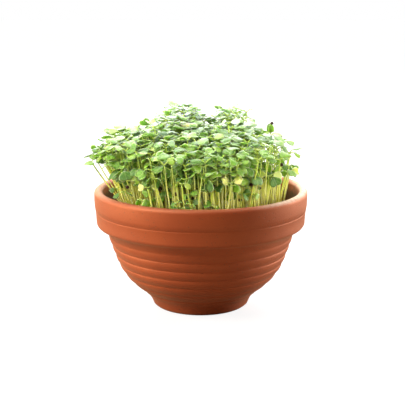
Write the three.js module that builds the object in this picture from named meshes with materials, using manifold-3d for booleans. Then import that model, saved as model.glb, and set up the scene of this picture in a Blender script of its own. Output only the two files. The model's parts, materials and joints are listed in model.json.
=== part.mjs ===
// Potted tatsoi microgreens: a ribbed terracotta bowl filled with potting mix, and a stand of
// seedlings. Millimetres, +Z up. The origin is the centre of the bowl's foot, where it stands.
// Each seedling grew as one piece, so its stem and its pair of seed leaves are one solid. Seeds
// that lay side by side made a tuft: its seedlings share a solid, joined where their stems touch.
import * as THREE from "three";
import { mergeVertices } from "three/addons/utils/BufferGeometryUtils.js";
import Module from "manifold-3d";

const wasm = await Module();
wasm.setup();

// ---------- driving dimensions ----------
const GAP = 0.4; // between pieces that touch

const POT_HEIGHT = 84;
const RIM_RADIUS = 75;
const LIP_ROUND = 3; // rounding of the lip's two edges
const LIP_INNER_RADIUS = 68.8;
const COLLAR_TAPER = 1.3; // how much narrower the collar is at its lower edge
const COLLAR_BOTTOM = 61; // height where the collar starts to turn in
const COLLAR_ROUND = 3;
const COLLAR_UNDERSIDE = [67.6, 55.2]; // radius and height where it meets the bowl
const GROOVE_HEIGHT = 69.3; // the thin line scored round the collar
const GROOVE_DEPTH = 0.5;
const GROOVE_HALF_WIDTH = 0.7;
// crests of the bowl below the collar, as [radius, height], from the collar down to the foot
const BOWL_OUTLINE = [
  [66.3, 53],
  [62.3, 41],
  [55.9, 26.5],
  [49.2, 18],
  [42.6, 12.5],
  [37.6, 8],
  [35.2, 4],
  [34.2, 1.5],
];
const RIDGE_TOP = 52; // height of the first crease
const RIDGE_PITCH = 6.7;
const RIDGES = 6;
const RIDGE_DEPTH = 1;
const FOOT_RADIUS = 32.6; // flat that the bowl stands on
const FOOT_HEIGHTS = [8, 4, 1.5]; // where its flare is sampled
const FLOOR_HEIGHT = 9;
// inside of the bowl as [radius, height], from below the lip down to the floor
const INNER_OUTLINE = [
  [LIP_INNER_RADIUS - 0.2, 76],
  [68, 62],
  [64.4, 52],
  [58.3, 40],
  [50.5, 29],
  [40.6, 18.5],
  [28, 11],
];
const POT_SEGMENTS = 48;

const DRAIN_HOLES = 3;
const DRAIN_RADIUS = 4;
const DRAIN_CIRCLE = 17; // radius of the circle that the drain holes lie on

const SOIL_HEIGHT = 66;
const SOIL_RADIUS = 68.2; // of the bowl's wall beside the surface of the mix
const SOIL_CROWN = 1; // how much higher the mix is in the middle

const STEM_RADIUS = 0.8;
const STEM_SIDES = 4;
const STEM_STEPS = 3;
const LEAF_THICKNESS = 0.9;
const LEAF_HALF_WIDTH = 0.52; // of a seed leaf, as a share of its length
const PETIOLE_HALF_WIDTH = 0.6;

const STAND_RADIUS = 58; // the outermost stems
const STAND_TOP = 128; // height of the canopy's middle
const EDGE_LEAN = 9; // how far the outermost tops lean out
const EDGE_DROP = 11; // how much lower they are

const SPREAD_COUNT = 38; // tufts spread evenly, each from one seedling placed by a formula
const GOLDEN_ANGLE = 137.508;
const FIRST_ANGLE = 99;
const EVEN_STEPS = [0.8813, 0.7766, 0.6844, 0.6032]; // of the low-discrepancy numbers
const EVEN_START = 0.23;
const SPREAD_DRIFT = [-1.5, -4.5]; // towards the light, on the left
const SPREAD_DROP = [0, 13];
const SPREAD_LEAF = [8.5, 10.3];
const SPREAD_LIFT = [6, 24];

const TUFT_EXTRA = 2; // seedlings that a tuft may have beside its first
const TUFT_TRIES = 90;
const TUFT_STEP = 0.9; // from the first one's foot to theirs
const TUFT_START = 0.5; // how much higher than the one before each of them starts
const TUFT_REACH = [4.5, 9.5]; // from the first one's top to theirs
const TUFT_RISE = [-11, 4];
const TUFT_LEAF = [7.6, 9.2];
const TUFT_LIFT = [-8, 16];
const TOPS_MIDDLE = -3; // X of the middle of the circle that the tops stay in
const TOPS_RADIUS = 64;
const CLEAR_ACROSS = 3; // two seedlings are clear where their points are this far apart across
const CLEAR_UP = 2.4; // or this far apart in height
const FEEL_PITCH = 2; // height between the points felt along a stem

const TERRACOTTA = 0xb5623a;
const MIX_BROWN = 0x3a281b;
const LEAF_GREENS = [0x8fbf6a, 0x6fa34f, 0xa7cf86, 0x5c8f4a];

// Seedlings that stand out, each as its stem's foot [x, y], its stem's top [x, y, z], the length
// of a seed leaf, the direction that the first leaf points in and how far the leaves rise, in degrees.
const STANDOUTS = [
  { foot: [-54, -14], top: [-75, -16, 105], leaf: 10, turn: 82, lift: 14 }, // leans over the rim
  { foot: [-51, 4], top: [-69.5, 8, 109], leaf: 9.5, turn: 20, lift: 12 },
  { foot: [-52, 20], top: [-62, 19, 120], leaf: 9.5, turn: 168, lift: 5 },
  { foot: [-21, 39], top: [-25, 43, 130], leaf: 10, turn: 8, lift: 12 }, // tall pair, back left
  { foot: [-8, 43], top: [-10, 47, 134], leaf: 9.5, turn: 172, lift: 8 },
  { foot: [24, 39], top: [25.5, 43, 130.5], leaf: 10, turn: 150, lift: 24 }, // tall pair, back right
  { foot: [33, 28], top: [33, 31, 134], leaf: 10, turn: 15, lift: 16 },
  { foot: [46, 6], top: [49, 6, 119], leaf: 10.5, turn: 95, lift: 74 }, // still folded upwards
  { foot: [57, 3], top: [63, 1, 109], leaf: 8.5, turn: -12, lift: -18 }, // right edge
  { foot: [54, -12], top: [60, -14, 96], leaf: 8.5, turn: 20, lift: 6 },
  { foot: [52, 22], top: [59.5, 25, 113], leaf: 9, turn: -8, lift: -10 },
  { foot: [6, -56.5], top: [7, -60, 95], leaf: 7.5, turn: -12, lift: 6 }, // short ones in front
  { foot: [19, -54], top: [20, -58, 99.5], leaf: 7, turn: 10, lift: 20 },
  { foot: [-31, -49], top: [-33, -53, 92], leaf: 5.5, turn: -150, lift: -10 },
  { foot: [44, -35], top: [47, -38, 100], leaf: 9.5, turn: -60, lift: -28 },
  { foot: [-44, -35], top: [-53, -35, 109], leaf: 9.5, turn: -130, lift: -16 },
  { foot: [-37, -40], top: [-44, -41, 103], leaf: 8.5, turn: -110, lift: -22 },
  { foot: [-50, -30], top: [-56.5, -35, 90.5], leaf: 6.5, turn: -145, lift: -4 }, // low, over the lip
];

// ---------- helpers ----------
const v2 = ([x, y]) => new THREE.Vector2(x, y);
const degrees = THREE.MathUtils.degToRad;
const lerp = THREE.MathUtils.lerp;

/** Merges shared vertices and turns a closed geometry into a solid. */
function solidOf(geometry) {
  const plain = geometry.clone();
  plain.deleteAttribute("normal");
  plain.deleteAttribute("uv");
  const merged = mergeVertices(plain, 1e-4);
  const index = Array.from(merged.index.array);
  const triangles = [];
  for (let i = 0; i < index.length; i += 3) {
    const [a, b, c] = index.slice(i, i + 3);
    if (a !== b && b !== c && c !== a) triangles.push(a, b, c);
  }
  return new wasm.Manifold(
    new wasm.Mesh({
      numProp: 3,
      vertProperties: new Float32Array(merged.attributes.position.array),
      triVerts: new Uint32Array(triangles),
    }),
  );
}

/** The geometry of a solid. */
function geometryOf(solid) {
  const mesh = solid.getMesh();
  const geometry = new THREE.BufferGeometry();
  geometry.setAttribute("position", new THREE.BufferAttribute(new Float32Array(mesh.vertProperties), 3));
  geometry.setIndex(new THREE.BufferAttribute(new Uint32Array(mesh.triVerts), 1));
  geometry.computeVertexNormals();
  return geometry;
}

/** A closed profile of [radius, height] points, turned round the Z axis. */
function turned(profile) {
  const geometry = new THREE.LatheGeometry(profile.map(v2), POT_SEGMENTS);
  return geometry.rotateX(Math.PI / 2);
}

function named(name, geometry, color, roughness) {
  const material = new THREE.MeshStandardMaterial({ color, roughness, metalness: 0 });
  const mesh = new THREE.Mesh(geometry, material);
  mesh.name = name;
  return mesh;
}

/** Points on an arc round (radius, height), from one angle to another in degrees. */
function arc(radius, height, size, from, to, steps) {
  return Array.from({ length: steps + 1 }, (_, i) => {
    const angle = degrees(lerp(from, to, i / steps));
    return [radius + size * Math.cos(angle), height + size * Math.sin(angle)];
  });
}

// ---------- pot ----------
const bowl = new THREE.SplineCurve(BOWL_OUTLINE.map(v2));

/** Radius of the bowl's crests at a height, found by halving along the outline. */
function bowlRadius(height) {
  let [low, high] = [0, 1];
  for (let i = 0; i < 24; i++) {
    const middle = (low + high) / 2;
    if (bowl.getPoint(middle).y > height) low = middle;
    else high = middle;
  }
  return bowl.getPoint(low).x;
}

/** Outside of the ridged part, from its top down: rounded ridges with a narrow crease between. */
function ridges() {
  const points = [];
  for (let ridge = 0; ridge < RIDGES; ridge++) {
    for (const phase of [0, 0.3, 0.7]) {
      const height = RIDGE_TOP - (ridge + phase) * RIDGE_PITCH;
      const depth = RIDGE_DEPTH * (1 - Math.sin(Math.PI * phase));
      points.push([bowlRadius(height) - depth, height]);
    }
  }
  return points;
}

function potProfile() {
  const collarFoot = RIM_RADIUS - COLLAR_TAPER;
  const grooveRadius = lerp(collarFoot, RIM_RADIUS, 0.4);
  const lastCrease = RIDGE_TOP - RIDGES * RIDGE_PITCH;
  const outside = [
    ...arc(RIM_RADIUS - LIP_ROUND, POT_HEIGHT - LIP_ROUND, LIP_ROUND, 90, 0, 4),
    [grooveRadius, GROOVE_HEIGHT + GROOVE_HALF_WIDTH],
    [grooveRadius - GROOVE_DEPTH, GROOVE_HEIGHT],
    [grooveRadius, GROOVE_HEIGHT - GROOVE_HALF_WIDTH],
    ...arc(collarFoot - COLLAR_ROUND, COLLAR_BOTTOM, COLLAR_ROUND, 0, -50, 3),
    COLLAR_UNDERSIDE,
    ...ridges(),
    [bowlRadius(lastCrease) - RIDGE_DEPTH, lastCrease],
    ...FOOT_HEIGHTS.map((height) => [bowlRadius(height), height]),
    [FOOT_RADIUS, 0],
    [0, 0],
  ];
  const inside = [
    [0, FLOOR_HEIGHT],
    ...INNER_OUTLINE.toReversed(),
    ...arc(LIP_INNER_RADIUS + LIP_ROUND, POT_HEIGHT - LIP_ROUND, LIP_ROUND, 180, 90, 3),
  ];
  return { outside, inside };
}

function pot() {
  const { outside, inside } = potProfile();
  // both ends of the profile are on the axis: up the outside, over the lip and down the inside
  const shell = solidOf(turned([...inside, ...outside.slice(1)].toReversed()));
  const holes = Array.from({ length: DRAIN_HOLES }, (_, i) => {
    const angle = (i / DRAIN_HOLES) * Math.PI * 2 + Math.PI / 2;
    const hole = new THREE.CylinderGeometry(DRAIN_RADIUS, DRAIN_RADIUS, FLOOR_HEIGHT * 3, 14);
    hole.rotateX(Math.PI / 2);
    hole.translate(DRAIN_CIRCLE * Math.cos(angle), DRAIN_CIRCLE * Math.sin(angle), 0);
    return solidOf(hole);
  });
  const drained = holes.reduce((solid, hole) => solid.subtract(hole), shell);
  return named("pot", geometryOf(drained), TERRACOTTA, 0.75);
}

// ---------- potting mix ----------
function pottingMix() {
  const wall = INNER_OUTLINE.filter(([, height]) => height < SOIL_HEIGHT);
  const profile = [
    [0, FLOOR_HEIGHT + GAP],
    ...wall.toReversed().map(([radius, height]) => [radius - GAP, height + GAP]),
    [SOIL_RADIUS - GAP, SOIL_HEIGHT - 0.5],
    [40, SOIL_HEIGHT + SOIL_CROWN * 0.6],
    [0, SOIL_HEIGHT + SOIL_CROWN],
  ];
  return named("potting_mix", turned(profile), MIX_BROWN, 1);
}

// ---------- seedlings ----------
/** One seed leaf with its stalk, pointing along +X, widest past its middle. */
function leaf(length) {
  const halfWidth = length * LEAF_HALF_WIDTH;
  const oneSide = [
    [0, PETIOLE_HALF_WIDTH],
    [length * 0.22, PETIOLE_HALF_WIDTH],
    [length * 0.66, halfWidth],
    [length * 1.06, halfWidth * 0.6],
  ];
  const otherSide = oneSide.map(([x, y]) => [x, -y]);
  const outline = new THREE.Shape([...otherSide, ...oneSide.toReversed()].map(v2));
  const blade = new THREE.ExtrudeGeometry(outline, { depth: LEAF_THICKNESS, bevelEnabled: false });
  return blade.translate(0, 0, -LEAF_THICKNESS / 2);
}

/** Turns a leaf that lies along +X the way it grows, and moves it to the top of its stem. */
function leafPlace({ top, turn, lift }, side) {
  return new THREE.Matrix4()
    .makeTranslation(...top)
    .multiply(new THREE.Matrix4().makeRotationZ(degrees(turn + side)))
    .multiply(new THREE.Matrix4().makeRotationY(-degrees(lift)));
}

/** The middle of a stem that starts upright and bends towards its top. */
function stemPath({ foot: [x, y], top, start = 0 }) {
  const bottom = SOIL_HEIGHT + SOIL_CROWN + GAP + start;
  const height = top[2] - bottom;
  return new THREE.CubicBezierCurve3(
    new THREE.Vector3(x, y, bottom),
    new THREE.Vector3(x, y, bottom + height * 0.3),
    new THREE.Vector3(lerp(top[0], x, 0.4), lerp(top[1], y, 0.4), top[2] - height * 0.4),
    new THREE.Vector3(...top),
  );
}

function stem(plant) {
  const section = new THREE.Shape(
    Array.from({ length: STEM_SIDES }, (_, i) => {
      const angle = (i / STEM_SIDES) * Math.PI * 2;
      return new THREE.Vector2(STEM_RADIUS * Math.cos(angle), STEM_RADIUS * Math.sin(angle));
    }),
  );
  return new THREE.ExtrudeGeometry(section, { steps: STEM_STEPS, extrudePath: stemPath(plant) });
}

/** The geometry of one seedling, or of a tuft of them. */
function tuftGeometry(tuft) {
  const parts = tuft.flatMap((plant) => [
    stem(plant),
    ...[0, 180].map((side) => leaf(plant.leaf).applyMatrix4(leafPlace(plant, side))),
  ]);
  return geometryOf(parts.map(solidOf).reduce((whole, part) => whole.add(part)));
}

/** Low-discrepancy numbers from 0 to 1: the k-th one of item i. */
const even = (i, k) => (EVEN_START + i * EVEN_STEPS[k]) % 1;

/** The first seedling of the i-th tuft: outer ones are shorter and lean outwards. */
function spreadSeedling(i) {
  const share = (i + 0.5) / SPREAD_COUNT;
  const radius = STAND_RADIUS * Math.sqrt(share);
  const angle = degrees(FIRST_ANGLE + i * GOLDEN_ANGLE);
  const reach = radius + EDGE_LEAN * share ** 3 + 2 * even(i, 0) - 1;
  const drift = lerp(...SPREAD_DRIFT, even(i, 1));
  const height = STAND_TOP - EDGE_DROP * share ** 2 - lerp(...SPREAD_DROP, even(i, 2));
  return {
    foot: [radius * Math.cos(angle), radius * Math.sin(angle)],
    top: [reach * Math.cos(angle) + drift, reach * Math.sin(angle), height],
    leaf: lerp(...SPREAD_LEAF, even(i, 1)),
    turn: 360 * even(i, 3),
    lift: lerp(...SPREAD_LIFT, even(i, 0)),
  };
}

/** The n-th try at another seedling for a tuft that holds some already. */
function tuftSeedling({ foot, top }, held, n) {
  const way = degrees(360 * even(n, 3));
  const reach = lerp(...TUFT_REACH, even(n, 0));
  const rise = lerp(...TUFT_RISE, even(n, 1));
  return {
    foot: [foot[0] + TUFT_STEP * Math.cos(way), foot[1] + TUFT_STEP * Math.sin(way)],
    top: [top[0] + reach * Math.cos(way), top[1] + reach * Math.sin(way), top[2] + rise],
    start: TUFT_START * held,
    leaf: lerp(...TUFT_LEAF, even(n, 2)),
    turn: 360 * even(n, 2),
    lift: lerp(...TUFT_LIFT, even(n, 1)),
  };
}

/** Points over a seed leaf that lies along +X: five rows of five across it. */
function leafPoints(length) {
  const halfWidth = (x) => Math.min(0.45, 0.06 + x * 0.6, 1.22 - x * 0.9);
  return [0.15, 0.38, 0.6, 0.82, 1.02].flatMap((x) =>
    [-1, -0.5, 0, 0.5, 1].map((y) => new THREE.Vector3(x * length, y * halfWidth(x) * length, 0)),
  );
}

/** Points along a seedling's stem and over its leaves, close enough to feel what comes near. */
function feelers(plant) {
  const path = stemPath(plant);
  const steps = Math.ceil((plant.top[2] - SOIL_HEIGHT) / FEEL_PITCH);
  const stems = Array.from({ length: steps + 1 }, (_, i) => path.getPoint(i / steps));
  const leaves = [0, 180].flatMap((side) => {
    const place = leafPlace(plant, side);
    return leafPoints(plant.leaf).map((point) => point.applyMatrix4(place));
  });
  return { stems, leaves };
}

const near = (a, b) => Math.abs(a.z - b.z) < CLEAR_UP && Math.hypot(a.x - b.x, a.y - b.y) < CLEAR_ACROSS;
const meet = (some, others) => some.some((a) => others.some((b) => near(a, b)));

/** Whether two seedlings come too near each other. Only the stems of one tuft may touch. */
function clash(one, other, sameTuft) {
  if (meet(one.leaves, other.leaves)) return true;
  if (meet(one.leaves, other.stems) || meet(one.stems, other.leaves)) return true;
  return !sameTuft && meet(one.stems, other.stems);
}

/** Adds seedlings to the last tufts: each is the first of many tries that stays clear of all others. */
function growTufts(tufts, count) {
  const grown = tufts.map(([plant], home) => ({ home, ...feelers(plant) }));
  for (let i = 0; i < count * TUFT_EXTRA; i++) {
    const home = tufts.length - count + (i % count);
    for (let n = i * TUFT_TRIES; n < (i + 1) * TUFT_TRIES; n++) {
      const plant = tuftSeedling(tufts[home][0], tufts[home].length, n);
      if (Math.hypot(plant.top[0] - TOPS_MIDDLE, plant.top[1]) > TOPS_RADIUS) continue;
      const felt = { home, ...feelers(plant) };
      if (grown.some((other) => clash(felt, other, other.home === home))) continue;
      grown.push(felt);
      tufts[home].push(plant);
      break;
    }
  }
}

const spread = Array.from({ length: SPREAD_COUNT }, (_, i) => spreadSeedling(i));
const tufts = [...STANDOUTS, ...spread].map((plant) => [plant]);
growTufts(tufts, SPREAD_COUNT);

const object = new THREE.Group();
object.add(pot(), pottingMix());
tufts.forEach((tuft, i) => {
  const name = `seedling_${String(i + 1).padStart(2, "0")}`;
  object.add(named(name, tuftGeometry(tuft), LEAF_GREENS[i % LEAF_GREENS.length], 0.6));
});

export default object;
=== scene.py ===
import json
import math
import random
from collections import namedtuple

import bmesh
import bpy
import numpy as np
from mathutils import Euler, Matrix, Vector

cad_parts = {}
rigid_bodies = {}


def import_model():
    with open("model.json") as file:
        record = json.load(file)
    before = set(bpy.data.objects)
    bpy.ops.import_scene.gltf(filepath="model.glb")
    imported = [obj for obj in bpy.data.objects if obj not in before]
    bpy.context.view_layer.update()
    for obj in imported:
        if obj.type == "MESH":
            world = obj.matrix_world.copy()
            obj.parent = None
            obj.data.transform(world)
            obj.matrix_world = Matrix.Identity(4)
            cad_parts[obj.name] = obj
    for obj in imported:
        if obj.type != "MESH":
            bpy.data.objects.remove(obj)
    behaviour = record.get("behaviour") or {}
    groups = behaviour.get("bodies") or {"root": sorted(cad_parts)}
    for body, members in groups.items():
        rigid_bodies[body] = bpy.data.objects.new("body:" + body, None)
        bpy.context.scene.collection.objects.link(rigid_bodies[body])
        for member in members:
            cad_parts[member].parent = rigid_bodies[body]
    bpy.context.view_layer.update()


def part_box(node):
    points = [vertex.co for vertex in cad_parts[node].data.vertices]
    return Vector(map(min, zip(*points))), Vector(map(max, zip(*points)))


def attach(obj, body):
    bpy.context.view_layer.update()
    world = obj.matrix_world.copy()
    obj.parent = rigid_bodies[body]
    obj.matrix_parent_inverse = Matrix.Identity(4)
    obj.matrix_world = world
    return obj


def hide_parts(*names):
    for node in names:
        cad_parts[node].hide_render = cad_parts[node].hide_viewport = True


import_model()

MM = 0.001
rng = random.Random(5)


def rgb(red, green, blue):
    """A colour given as screen values from 0 to 255."""

    def linear(value):
        value /= 255
        return value / 12.92 if value <= 0.04045 else ((value + 0.055) / 1.055) ** 2.4

    return (linear(red), linear(green), linear(blue), 1.0)


# ---- camera, floor and lights ----
CAMERA_TARGET = (0.00124, 0.0, 0.07294)
CAMERA_DISTANCE = 0.7
CAMERA_ELEVATION = math.radians(12.39)
CAMERA_LENS = 87.7
CAMERA_SENSOR = 36
FLOOR_SIZE = 12
FLOOR_GLOW = 0.87
LIGHT_DISTANCE = 1.3
LIGHT_TARGET = (0, 0, 0.07)
LIT_APART = {"foliage": "tatsoi", "clay": "terracotta"}  # groups of pieces, by how their names start
WHITE = (1.0, 1.0, 1.0)

# Each light: name, azimuth and elevation in degrees, size, power, colour and the group that it is
# kept to. Azimuth 0 is the camera's side and 90 is the right.
LIGHTS = [
    ("foliage_front", 8, 2, 1.2, 13, (1.0, 1.0, 0.8), "foliage"),
    ("foliage_right", 55, 4, 0.8, 15.5, (1.0, 1.0, 0.9), "foliage"),
    ("foliage_back", 180, 14, 0.9, 3, WHITE, "foliage"),
    ("clay_left", 215, 6, 0.8, 8.6, (1.0, 1.0, 0.8), "clay"),
    ("clay_right", 150, 16, 0.6, 4, (1.0, 1.0, 0.95), "clay"),
    ("key", 299, 40, 0.6, 11.8, (1.0, 0.98, 0.88), None),
    ("side_left", 274, 2, 0.6, 10, (1.0, 0.98, 0.8), None),
    ("side_right", 112, 8, 0.5, 10.5, WHITE, None),
    ("back", 180, 28, 1.1, 19, WHITE, None),
    ("top", 200, 75, 0.9, 8, WHITE, None),
]

# ---- colours ----
CLAY = (rgb(202, 74, 26), rgb(214, 86, 34))
CLAY_GRAIN = rgb(180, 60, 20)
CLAY_WORN = rgb(228, 150, 108)
CLAY_PIT = rgb(120, 52, 30)
# Darker colour of the inner wall, below a wavy line under the lip.
CLAY_INNER_DARK = rgb(74, 36, 20)
# Painted highlight: the pale colour that stands in for light catching the lip.
CLAY_PAINTED_HIGHLIGHT = rgb(252, 236, 220)
MIX = (rgb(38, 26, 17), rgb(78, 56, 38))
MIX_FIBRE = rgb(122, 92, 62)
STEM_LOW = (rgb(230, 210, 122), rgb(242, 234, 168))
STEM_HIGH = (rgb(206, 216, 92), rgb(228, 232, 136))
STEM_END = rgb(146, 184, 76)
STEM_STREAK = rgb(196, 204, 86)
LEAF_TONES = [
    (0.0, rgb(46, 92, 28)),
    (0.35, rgb(88, 136, 30)),
    (0.7, rgb(130, 166, 42)),
    (1.0, rgb(230, 232, 136)),
]
LEAF_MOTTLE = rgb(152, 190, 60)
LEAF_VEIN = rgb(196, 220, 132)
# Painted highlight along the leaves' rims, where light catches them.
LEAF_RIM_HIGHLIGHT = rgb(222, 236, 178)
LEAF_UNDER = rgb(164, 200, 68)
# Painted sheen: a pale colour on the highest leaves that stands in for the backlight's sheen.
LEAF_PAINTED_SHEEN = rgb(206, 226, 220)
PAINTED_SHEEN_HEIGHTS = (116 * MM, 137 * MM)
HULL = (rgb(40, 22, 18), rgb(92, 54, 40))

# ---- pot; its outlines are (radius, height) in millimetres ----
POT_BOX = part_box("pot")
POT_HEIGHT = POT_BOX[1][2]
RIM_RADIUS = POT_BOX[1][0]
POT_SEGMENTS = 288
POT_WOBBLE = 0.08 * MM
LIP_ROUND = 3 * MM
LIP_INNER_RADIUS = 68.8 * MM
COLLAR_TAPER = 1.3 * MM
COLLAR_BOTTOM = 61 * MM
COLLAR_ROUND = 3 * MM
COLLAR_BENDS = (64 * MM, 73 * MM, 76.5 * MM)  # heights of the bends in its side
COLLAR_SWELL = 0.15 * MM
COLLAR_HOLLOW = [(66, 52.6), (66.7, 54), (67.9, 55.4), (69.6, 57), (71, 57.9)]  # under the collar
GROOVE_INSET = 0.75 * MM  # from the rim's radius to the groove's edges
GROOVE_HEIGHT = 69.3 * MM
GROOVE_DEPTH = 0.34 * MM
GROOVE_HALF_WIDTH = 0.42 * MM
GROOVE_LEAN = 0.1 * MM
BOWL_OUTLINE = [(66.3, 53), (62.3, 41), (55.9, 26.5), (49.2, 18), (42.6, 12.5)]
FOOT_FLARE = [(37.6, 8), (35.2, 4), (34.2, 1.5)]
RIDGE_TOP = 52 * MM
RIDGE_PITCH = 6.7 * MM
RIDGES = 6
RIDGE_STEPS = 12
RIDGE_DEPTH = 1 * MM
RIDGE_BREADTH = 0.6  # less makes the crests broader and the lines between them narrower
FOOT_RADIUS = 32.6 * MM
FOOT_RINGS = (1.2, 2.2, 4, 6, 8, 9.5, 10.8)  # heights up the foot
FLOOR_HEIGHT = 9 * MM
INNER_OUTLINE = [(68.6, 76), (68, 62), (64.4, 52), (58.3, 40), (50.5, 29), (40.6, 18.5), (28, 11)]
DRAIN_HOLES = 3
DRAIN_RADIUS = 4 * MM
DRAIN_CIRCLE = 17 * MM
INNER_DARK_REACH = (8 * MM, 3 * MM)  # below the lip, where the darker inner wall starts to fade and where it has faded
INNER_DARK_WAVE = 4 * MM
LIP_HIGHLIGHT_REACH = (2 * MM, 0.6 * MM)  # below the lip, where the painted highlight starts and where it is full
LIP_HIGHLIGHT_SIDE = (56 * MM, 70 * MM)  # to the right, where the painted highlight thickens

# ---- potting mix ----
MIX_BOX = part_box("potting_mix")
MIX_TOP = MIX_BOX[1][2]
MIX_RADIUS = MIX_BOX[1][0]
MIX_SEGMENTS = 160
MIX_RINGS = 40
MIX_GAP = 0.4 * MM
MIX_EDGE_GAP = 0.2 * MM
MIX_SINK = 0.6  # in millimetres, how far its middle lies below the solid's, and its edge below that
MIX_DOME = 1.2
LUMP_HEIGHT = 0.5
LUMP_DEPTH = 3 * MM
CRUMB_COUNT = 260
CRUMB_SIZE = (0.5, 1.7)  # in millimetres
CRUMB_EDGE = 3 * MM
CRUMB_SINK = 1.2 * MM
CRUMB_STRETCH = ((0.7, 1.3), (0.7, 1.3), (0.6, 1.0))
CRUMB_KNOBS = 0.18

# ---- seedlings of the CAD model, in millimetres and degrees ----
Plant = namedtuple("Plant", "foot top leaf turn lift")
SOIL_HEIGHT = 66
STEM_START = 67.4  # height of the stems' feet
STEM_UPRIGHT = 0.3  # share of a stem that its foot keeps upright, and that its top eases into
STEM_EASE = 0.4
STAND_RADIUS = 58
STAND_TOP = 128
EDGE_LEAN = 9
EDGE_DROP = 11
SPREAD_COUNT = 38
GOLDEN_ANGLE = 137.508
FIRST_ANGLE = 99
EVEN_STEPS = (0.8813, 0.7766, 0.6844, 0.6032)
EVEN_START = 0.23
SPREAD_DRIFT = (-1.5, -4.5)
SPREAD_DROP = (0, 13)
SPREAD_LEAF = (8.5, 10.3)
SPREAD_LIFT = (6, 24)
TUFT_EXTRA = 2
TUFT_TRIES = 90
TUFT_STEP = 0.9
TUFT_START = 0.5
TUFT_REACH = (4.5, 9.5)
TUFT_RISE = (-11, 4)
TUFT_LEAF = (7.6, 9.2)
TUFT_LIFT = (-8, 16)
TOPS_MIDDLE = -3
TOPS_RADIUS = 64
CLEAR_ACROSS = 3
CLEAR_UP = 2.4
FEEL_PITCH = 2
FEEL_ALONG = (0.15, 0.38, 0.6, 0.82, 1.02)  # shares of a leaf's length
FEEL_ACROSS = (-1, -0.5, 0, 0.5, 1)  # shares of its half width

# ---- the rest of the stand, in millimetres and degrees ----
FILL_COUNT = 970
FILL_GROUPS = 8
FILL_RADIUS = (57.5, 59.5)  # across and front to back
FILL_MIDDLE = (1.5, 0)
FILL_TRIES = 8
FOOT_TRIES = 40
RIM_SHARE = 0.38  # share of the feet that only look for room in the outer ring, and its inner radius
RIM_START = 0.84
THIN_GAP = 1.9  # how much farther apart they stand at the right edge, and where that starts and is full
THIN_SPAN = (32, 46)
FILL_LEAN = (7.5, 3.5, 3)  # outwards at the edge, how much less on the right and less in front
FILL_LEAN_SPREAD = 2.5
FILL_DRIFT = (2, 2)  # to the left: the middle and the deviation
FILL_STRAY = 2
FILL_LEAF = (7.8, 11)
FILL_LIFT = (-10, 18)
FILL_LOWEST = (97, 103)
LOWEST_LEFT = (9, 50, 62)  # how much higher that is on the left, where it starts and where it is full
SHORT_SHARE = 0.05  # of late ones, which stand in the middle and are lower and smaller
SHORT_WITHIN = 45
SHORT_DROP = (4, 16)
SHORT_LEAF = 0.75
CANOPY_TOP = 122
CANOPY_DEPTH = (15, 26)  # how far below its top there are leaves, at the back and at the front
CANOPY_CROWD = 1.4  # more puts more of the leaves near its top
FRONT_SPAN = (20, 55)
SIDE_SPAN = (25, 50)
SIDE_FRONT_SPAN = (-25, 5)
CROWNS = [(-15, 13, 9.5), (0, 21, 5), (25, 9.5, 10)]  # the middle, half width and rise of each
CROWN_SQUARENESS = 6
CROWN_SPAN = (-10, 35)  # from front to back, where the crowns start and where they are full
LEFT_FALL = (14, 53, 71)  # how far the canopy falls to a side, where it starts and where it is full
RIGHT_FALL = (18, 39, 74)
BACK_FALL = (3, 5, 45)
FRONT_FALL = (8, 20, 60)

# ---- leaves and stems ----
STEM_SLOT = 0
LEAF_SLOT = 1
STEM_SIDES = 7
STEM_STEPS = 10
STEM_WIDTH = (0.42, 0.6)  # half the thickness at the foot
STEM_TAPER = 0.78
STEM_BOW = (0.1, 0.9)
STALK_SIDES = 6
STALK_RADII = (0.42, 0.4, 0.38, 0.36, 0.33, 0.29, 0.22, 0.12)
STALK_BURY = 0.8
STALK_LIFT = (8, 32)
STALK_LENGTH = 0.33  # a share of the leaf's length, as are the next three
STALK_SPREAD = 0.11
STALK_KNEE = 0.2
BLADE_SPREAD = 0.065
KNEE_RISE = 0.4
RIB_REACH = 0.5  # how far the stalk runs on under the blade, as a share of its half size, and how deep
RIB_DEPTH = 0.3
BLADE_OVERLAP = 0.06
BLADE_RINGS = 3
BLADE_SIDES = 22
BLADE_NOTCH = 0.26
BLADE_LENGTH = 0.86
BLADE_WIDTH = 1.1
BLADE_THICKNESS = 0.42 * MM
TIP_FILL = 1.3  # how much of the notch a fully tapered blade fills
EDGE_START = 38  # distance from the stand's middle where its leaves start to tip outwards
EDGE_TIP = (0, 32)
LOW_SPAN = (4, 16)  # how far below the canopy's top leaves start to hang, and hang in full
TURN_SPREAD = 22
UNEQUAL = 0.14  # how much the two leaves of a seedling differ from their mean
TONE_SHAPE = (1.6, 3)
PLACED_STEM = 1.2  # those with a look of their own have thicker stems and stray less
PLACED_LOOSE = 0.35
FULL_TURN = 6.28

# The curls of a blade: lengthwise, sideways, the waves of its rim, where those start and its keel.
Bend = namedtuple("Bend", "droop hood ripple phase vee")
HOOD_SPREAD = 0.35
VEE_SPREAD = 0.07
RIPPLE = (0.02, 0.09)

# Each for a leaf at the canopy's top, and how much more for one that hangs.
PITCH = (-2, -26)
PITCH_SPREAD = (11, 12)
ROLL_SPREAD = (12, 13)
DROOP = (0.16, 0.3)
DROOP_SPREAD = 0.3

# How open leaves and folded ones grow: whether they stray, the blade's half size, its curl sideways,
# its keel and how much it narrows to the tip. A seedling whose leaves rise steeply has folded ones.
Habit = namedtuple("Habit", "strays size hood vee taper")
OPEN = Habit(strays=1, size=0.405, hood=0.28, vee=0.09, taper=0)
FOLDED = Habit(strays=0, size=0.365, hood=1.8, vee=0.03, taper=0.7)
FOLD_LIFT = 60

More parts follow.
